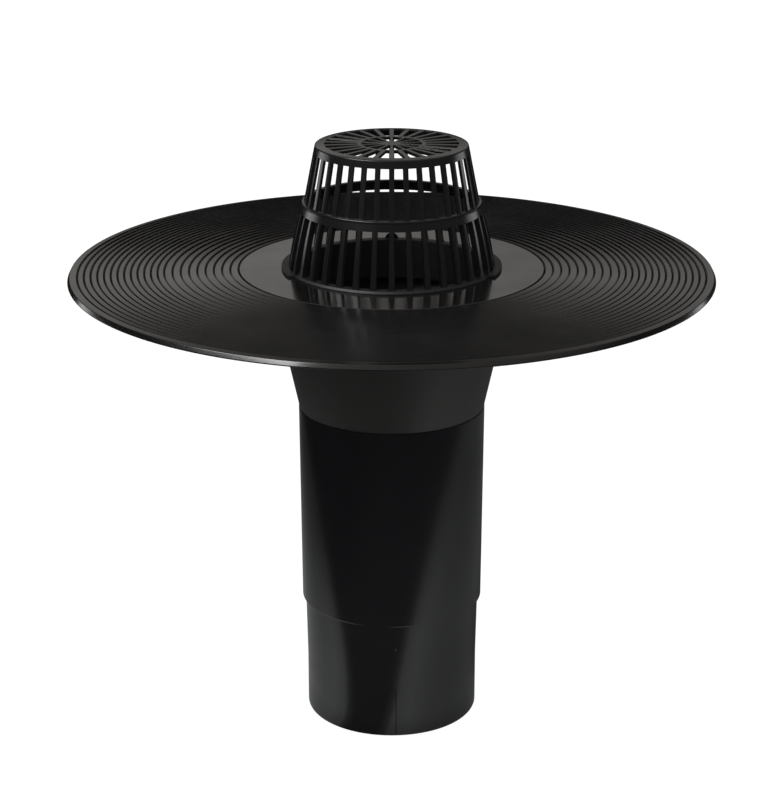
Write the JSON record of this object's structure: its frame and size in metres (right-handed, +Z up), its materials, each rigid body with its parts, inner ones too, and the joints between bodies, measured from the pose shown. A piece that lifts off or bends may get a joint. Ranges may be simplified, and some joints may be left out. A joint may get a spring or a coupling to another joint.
{
  "type": "flat roof drain",
  "caption": "Flat roof drain: round grooved flange plate on a conical hopper, stepped outlet pipe below, slotted truncated-cone leaf basket on top.",
  "frame": {"origin": "centre of the drop spigot's lower end face, on which the object stands", "axes": "+Z up along the pipe's axis; +Y towards the basket's index tab; the basket's two lugs lie along +X and -X"},
  "size_m": [0.4, 0.4, 0.3748],
  "materials": {
    "plate_plastic": "glossy",
    "hopper_plastic": "satin",
    "pipe_plastic": "semi-gloss",
    "basket_plastic": "semi-gloss"
  },
  "bodies": {
    "root": {"flange_plate": "plate_plastic", "hopper": "hopper_plastic", "outlet_sleeve": "pipe_plastic", "drop_spigot": "pipe_plastic", "leaf_basket": "basket_plastic"}
  },
  "joints": []
}
